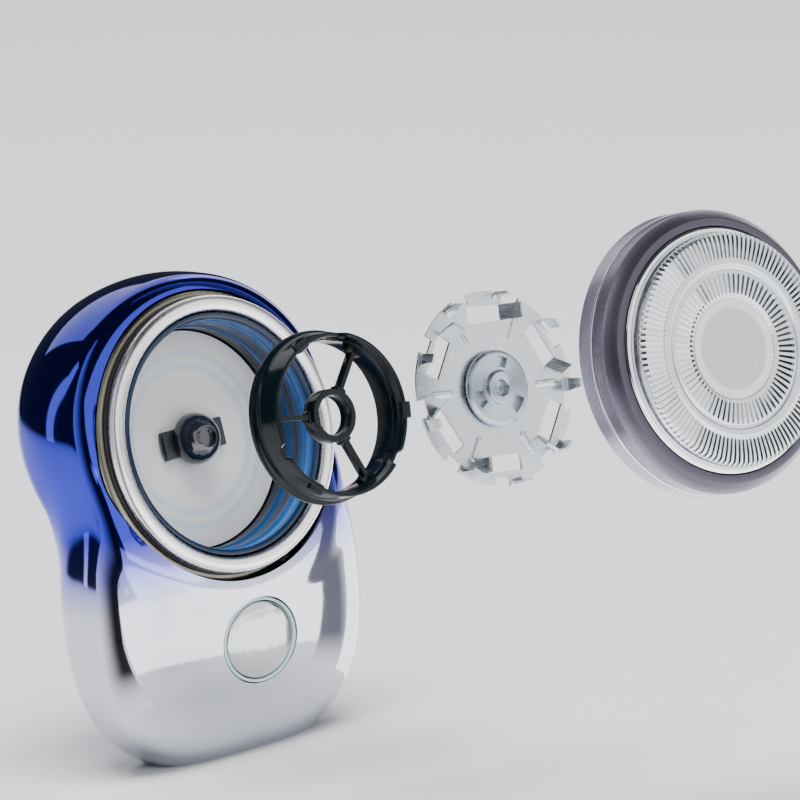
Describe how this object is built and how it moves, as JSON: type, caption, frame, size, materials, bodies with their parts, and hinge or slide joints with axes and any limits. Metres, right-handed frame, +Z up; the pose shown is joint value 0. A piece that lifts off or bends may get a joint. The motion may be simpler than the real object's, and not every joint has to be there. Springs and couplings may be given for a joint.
{
  "type": "pocket rotary shaver",
  "caption": "Pocket rotary shaver with a plated pebble body, drawn apart: hair chamber, drive, retaining frame, cutter and slotted head cap on one axis.",
  "frame": {"origin": "middle of the flat base, where the body stands", "axes": "+Z up the handle, -Y towards the face being shaved, which the head looks at 11.2 degrees upwards; +X to the right seen from the front, where the button is"},
  "size_m": [0.0492, 0.146, 0.088],
  "materials": {
    "plated_shell": "electroplated, blue fading to silver",
    "polished_chrome": "polished",
    "collar_metal": "satin, dark champagne",
    "black_rubber": "matte",
    "blue_chamber": "glossy, translucent blue",
    "pale_plate": "satin",
    "smoke_plastic": "glossy smoke",
    "black_plastic": "glossy black",
    "cutter_steel": "bright, stamped",
    "mauve_light": "satin metallic",
    "mauve_dark": "satin metallic",
    "net_steel": "bright, etched",
    "disc_grey": "satin",
    "button_steel": "polished",
    "teal_ring": "translucent",
    "board_green": "solder mask",
    "battery_foil": "foil",
    "plain_steel": "satin",
    "copper": "bare metal",
    "white_plastic": "satin",
    "red_lead": "insulated",
    "black_lead": "insulated"
  },
  "bodies": {
    "housing": {"body_shell": "plated_shell", "head_collar": "collar_metal", "collar_gasket": "black_rubber", "chrome_ring": "polished_chrome", "hair_chamber": "blue_chamber", "floor_plate": "pale_plate", "chamber_o_ring": "black_rubber", "shaft_seal": "black_rubber", "light_ring": "teal_ring", "button_membrane": "black_rubber", "circuit_board": "board_green", "tact_switch": "black_plastic", "indicator_led": "white_plastic", "chassis": "white_plastic", "battery": "battery_foil", "usb_c_port": "plain_steel", "chassis_screw_left": "plain_steel", "chassis_screw_right": "plain_steel", "battery_lead_left": "red_lead", "battery_lead_right": "black_lead", "motor_bracket": "white_plastic", "motor_can": "plain_steel", "motor_front_bush": "copper", "motor_end_cap": "black_plastic", "motor_screw_left": "plain_steel", "motor_screw_right": "plain_steel", "motor_terminal_left": "copper", "motor_terminal_right": "copper"},
    "rotor": {"motor_shaft": "cutter_steel", "motor_armature": "copper", "drive_arm": "smoke_plastic", "drive_dome": "smoke_plastic"},
    "button": {"button_cap": "button_steel", "button_stem": "black_plastic"},
    "frame": {"retaining_frame": "black_plastic"},
    "cutter_bearing": {"cutter_bush": "black_plastic"},
    "cutter": {"cutter_disc": "cutter_steel", "cutter_hub": "cutter_steel"},
    "head_cap": {"cap_rear_ring": "mauve_light", "cap_line_ring": "polished_chrome", "cap_front_ring": "mauve_dark", "cap_trim_ring": "polished_chrome", "blade_net": "net_steel", "centre_disc": "disc_grey", "cap_holder": "black_plastic"}
  },
  "joints": [
    {"name": "head_pull", "type": "slide", "parent": "housing", "child": "head_cap", "axis": [0, 0.981, -0.1942], "range_m": [0, 0.1061]},
    {"name": "frame_slide", "type": "slide", "parent": "housing", "child": "frame", "axis": [0, 0.981, -0.1942], "range_m": [0, 0.02212]},
    {"name": "cutter_slide", "type": "slide", "parent": "housing", "child": "cutter_bearing", "axis": [0, 0.981, -0.1942], "range_m": [0, 0.05622]},
    {"name": "rotor_spin", "type": "hinge", "parent": "housing", "child": "rotor", "pos_m": [0, -0.0079, 0.0466], "axis": [0, -0.981, 0.1942], "continuous": true},
    {"name": "cutter_spin", "type": "hinge", "parent": "cutter_bearing", "child": "cutter", "pos_m": [0, -0.06833, 0.05856], "axis": [0, -0.981, 0.1942], "continuous": true},
    {"name": "button_press", "type": "slide", "parent": "housing", "child": "button", "axis": [0, 0.9994, 0.0349], "range_m": [0, 0.0006], "stiffness_N_per_m": 800}
  ],
  "couplings": [
    {"joint": "frame_slide", "follows": "head_pull", "ratio": 0.20829},
    {"joint": "cutter_slide", "follows": "head_pull", "ratio": 0.52969},
    {"joint": "cutter_spin", "follows": "rotor_spin", "ratio": 1}
  ]
}
